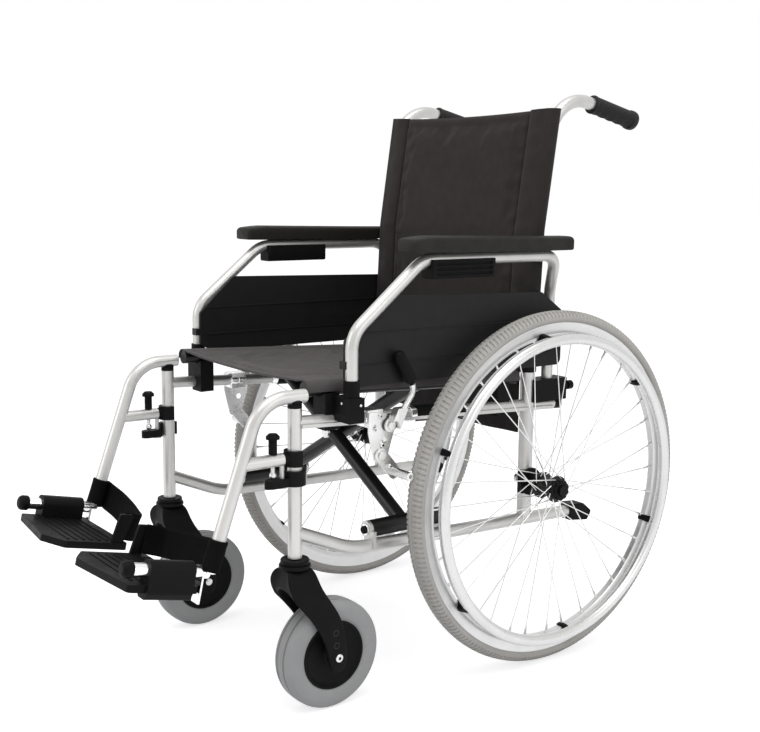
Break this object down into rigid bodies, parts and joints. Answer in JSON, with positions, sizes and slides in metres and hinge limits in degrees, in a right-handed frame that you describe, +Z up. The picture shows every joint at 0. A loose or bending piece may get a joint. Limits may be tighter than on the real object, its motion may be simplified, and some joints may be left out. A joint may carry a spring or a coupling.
{
  "type": "folding wheelchair",
  "caption": "Folding wheelchair with spoked rear wheels and hand rims, front casters, cross brace, armrests and swing-away footrests.",
  "frame": {"origin": "on the floor, in the middle of the chair's length and width", "axes": "+Z up, -Y the way the chair faces, +X the user's left"},
  "size_m": [0.631, 1.0752, 0.9742],
  "materials": {
    "frame_paint": "satin metallic",
    "black_plastic": "satin",
    "pad_plastic": "soft grained",
    "grip_rubber": "ribbed matt",
    "plated_steel": "zinc plated",
    "black_steel": "black powder coat",
    "tyre_grey": "matt grey",
    "caster_grey": "matt grey",
    "rim_alloy": "silver anodised",
    "chrome": "polished",
    "strap_web": "woven webbing",
    "seat_cloth": "coated nylon",
    "back_cloth": "coated nylon"
  },
  "bodies": {
    "left_frame": {"left_side_frame": "frame_paint", "left_frame_fittings": "black_plastic", "left_back_cane": "frame_paint", "left_push_grip": "grip_rubber", "left_armrest_sockets": "black_plastic", "left_axle_mount": "black_plastic", "left_brake_bracket": "plated_steel", "back_canvas": "back_cloth"},
    "left_armrest": {"left_armrest_tube": "frame_paint", "left_armrest_pad": "pad_plastic", "left_side_panel": "black_plastic"},
    "left_socket_knob": {"left_socket_knob": "black_plastic"},
    "left_wheel": {"left_tyre": "tyre_grey", "left_rim": "rim_alloy", "left_spokes": "plated_steel", "left_hub": "rim_alloy", "left_handrim": "rim_alloy"},
    "left_caster_fork": {"left_caster_fork": "black_plastic"},
    "left_caster_wheel": {"left_caster_tyre": "caster_grey", "left_caster_hub": "black_plastic"},
    "left_brake_lever": {"left_brake_lever": "black_steel"},
    "left_brake_arm": {"left_brake_arm": "plated_steel"},
    "left_hanger": {"left_hanger_tube": "frame_paint", "left_hanger_saddle": "black_plastic"},
    "left_hanger_knob": {"left_hanger_knob": "black_plastic"},
    "left_hanger_latch": {"left_hanger_latch": "black_plastic"},
    "left_footrest": {"left_foot_axle": "chrome", "left_heel_strap": "strap_web"},
    "left_footplate": {"left_footplate": "black_plastic"},
    "right_frame": {"right_side_frame": "frame_paint", "right_frame_fittings": "black_plastic", "right_back_cane": "frame_paint", "right_push_grip": "grip_rubber", "right_armrest_sockets": "black_plastic", "right_axle_mount": "black_plastic", "right_brake_bracket": "plated_steel"},
    "right_armrest": {"right_armrest_tube": "frame_paint", "right_armrest_pad": "pad_plastic", "right_side_panel": "black_plastic"},
    "right_socket_knob": {"right_socket_knob": "black_plastic"},
    "right_wheel": {"right_tyre": "tyre_grey", "right_rim": "rim_alloy", "right_spokes": "plated_steel", "right_hub": "rim_alloy", "right_handrim": "rim_alloy"},
    "right_caster_fork": {"right_caster_fork": "black_plastic"},
    "right_caster_wheel": {"right_caster_tyre": "caster_grey", "right_caster_hub": "black_plastic"},
    "right_brake_lever": {"right_brake_lever": "black_steel"},
    "right_brake_arm": {"right_brake_arm": "plated_steel"},
    "right_hanger": {"right_hanger_tube": "frame_paint", "right_hanger_saddle": "black_plastic"},
    "right_hanger_knob": {"right_hanger_knob": "black_plastic"},
    "right_hanger_latch": {"right_hanger_latch": "black_plastic"},
    "right_footrest": {"right_foot_axle": "chrome", "right_heel_strap": "strap_web"},
    "right_footplate": {"right_footplate": "black_plastic"},
    "left_brace": {"brace_left": "black_steel", "seat_canvas": "seat_cloth"},
    "right_brace": {"brace_right": "black_steel"}
  },
  "joints": [
    {"name": "fold", "type": "hinge", "parent": "left_frame", "child": "left_brace", "pos_m": [0.205, -0.01742, 0.27], "axis": [0, 1, 0], "range_deg": [0, 46], "deforming": ["back_canvas"]},
    {"name": "brace_cross", "type": "hinge", "parent": "left_brace", "child": "right_brace", "pos_m": [0, -0.01742, 0.38556], "axis": [0, 1, 0], "range_deg": [-94, 0], "deforming": ["seat_canvas"]},
    {"name": "right_brace_foot", "type": "hinge", "parent": "right_brace", "child": "right_frame", "pos_m": [-0.205, -0.01742, 0.27], "axis": [0, 1, 0], "range_deg": [0, 47]},
    {"name": "left_wheel_spin", "type": "hinge", "parent": "left_frame", "child": "left_wheel", "pos_m": [0.275, 0.23258, 0.305], "axis": [1, 0, 0], "continuous": true},
    {"name": "left_caster_swivel", "type": "hinge", "parent": "left_frame", "child": "left_caster_fork", "pos_m": [0.213, -0.24502, 0.252], "axis": [0, 0, 1], "continuous": true},
    {"name": "left_caster_spin", "type": "hinge", "parent": "left_caster_fork", "child": "left_caster_wheel", "pos_m": [0.213, -0.18543, 0.0873], "axis": [1, 0, 0], "continuous": true},
    {"name": "left_armrest_lift", "type": "slide", "parent": "left_frame", "child": "left_armrest", "axis": [0, 0, 1], "range_m": [0, 0.06]},
    {"name": "left_socket_knob_pull", "type": "slide", "parent": "left_frame", "child": "left_socket_knob", "axis": [0, 1, 0], "range_m": [0, 0.008], "stiffness_N_per_m": 400},
    {"name": "left_brake_lever_turn", "type": "hinge", "parent": "left_frame", "child": "left_brake_lever", "pos_m": [0.229, -0.08342, 0.443], "axis": [-1, 0, 0], "range_deg": [0, 30]},
    {"name": "left_brake_arm_turn", "type": "hinge", "parent": "left_frame", "child": "left_brake_arm", "pos_m": [0.229, -0.09842, 0.396], "axis": [-1, 0, 0], "range_deg": [0, 31]},
    {"name": "left_hanger_swing", "type": "hinge", "parent": "left_frame", "child": "left_hanger", "pos_m": [0.213, -0.24502, 0.484], "axis": [0, 0, 1], "range_deg": [0, 90]},
    {"name": "left_hanger_knob_lift", "type": "slide", "parent": "left_hanger", "child": "left_hanger_knob", "axis": [0, 0, 1], "range_m": [0, 0.006], "stiffness_N_per_m": 400},
    {"name": "left_hanger_latch_turn", "type": "hinge", "parent": "left_hanger", "child": "left_hanger_latch", "pos_m": [0.213, -0.26743, 0.366], "axis": [0, 0, -1], "range_deg": [0, 25]},
    {"name": "left_footrest_length", "type": "slide", "parent": "left_hanger", "child": "left_footrest", "axis": [0, -0.3338, -0.9426], "range_m": [0, 0.06]},
    {"name": "left_footplate_flip", "type": "hinge", "parent": "left_footrest", "child": "left_footplate", "pos_m": [0.207, -0.39113, 0.256], "axis": [0, 0.9763, -0.2164], "range_deg": [0, 98], "deforming": ["left_heel_strap"]},
    {"name": "right_wheel_spin", "type": "hinge", "parent": "right_frame", "child": "right_wheel", "pos_m": [-0.275, 0.23258, 0.305], "axis": [-1, 0, 0], "continuous": true},
    {"name": "right_caster_swivel", "type": "hinge", "parent": "right_frame", "child": "right_caster_fork", "pos_m": [-0.213, -0.24502, 0.252], "axis": [0, 0, -1], "continuous": true},
    {"name": "right_caster_spin", "type": "hinge", "parent": "right_caster_fork", "child": "right_caster_wheel", "pos_m": [-0.213, -0.18543, 0.0873], "axis": [-1, 0, 0], "continuous": true},
    {"name": "right_armrest_lift", "type": "slide", "parent": "right_frame", "child": "right_armrest", "axis": [0, 0, 1], "range_m": [0, 0.06]},
    {"name": "right_socket_knob_pull", "type": "slide", "parent": "right_frame", "child": "right_socket_knob", "axis": [0, 1, 0], "range_m": [0, 0.008], "stiffness_N_per_m": 400},
    {"name": "right_brake_lever_turn", "type": "hinge", "parent": "right_frame", "child": "right_brake_lever", "pos_m": [-0.229, -0.08342, 0.443], "axis": [-1, 0, 0], "range_deg": [0, 30]},
    {"name": "right_brake_arm_turn", "type": "hinge", "parent": "right_frame", "child": "right_brake_arm", "pos_m": [-0.229, -0.09842, 0.396], "axis": [-1, 0, 0], "range_deg": [0, 31]},
    {"name": "right_hanger_swing", "type": "hinge", "parent": "right_frame", "child": "right_hanger", "pos_m": [-0.213, -0.24502, 0.484], "axis": [0, 0, -1], "range_deg": [0, 90]},
    {"name": "right_hanger_knob_lift", "type": "slide", "parent": "right_hanger", "child": "right_hanger_knob", "axis": [0, 0, 1], "range_m": [0, 0.006], "stiffness_N_per_m": 400},
    {"name": "right_hanger_latch_turn", "type": "hinge", "parent": "right_hanger", "child": "right_hanger_latch", "pos_m": [-0.213, -0.26743, 0.366], "axis": [0, 0, 1], "range_deg": [0, 25]},
    {"name": "right_footrest_length", "type": "slide", "parent": "right_hanger", "child": "right_footrest", "axis": [0, -0.3338, -0.9426], "range_m": [0, 0.06]},
    {"name": "right_footplate_flip", "type": "hinge", "parent": "right_footrest", "child": "right_footplate", "pos_m": [-0.207, -0.39113, 0.256], "axis": [0, -0.9763, 0.2164], "range_deg": [0, 98], "deforming": ["right_heel_strap"]}
  ],
  "couplings": [
    {"joint": "brace_cross", "follows": "fold", "ratio": -2},
    {"joint": "right_brace_foot", "follows": "fold", "ratio": 1},
    {"joint": "left_brake_arm_turn", "follows": "left_brake_lever_turn", "ratio": 1},
    {"joint": "left_footplate_flip", "follows": "fold", "ratio": 2.1},
    {"joint": "right_brake_arm_turn", "follows": "right_brake_lever_turn", "ratio": 1},
    {"joint": "right_footplate_flip", "follows": "fold", "ratio": 2.1}
  ]
}
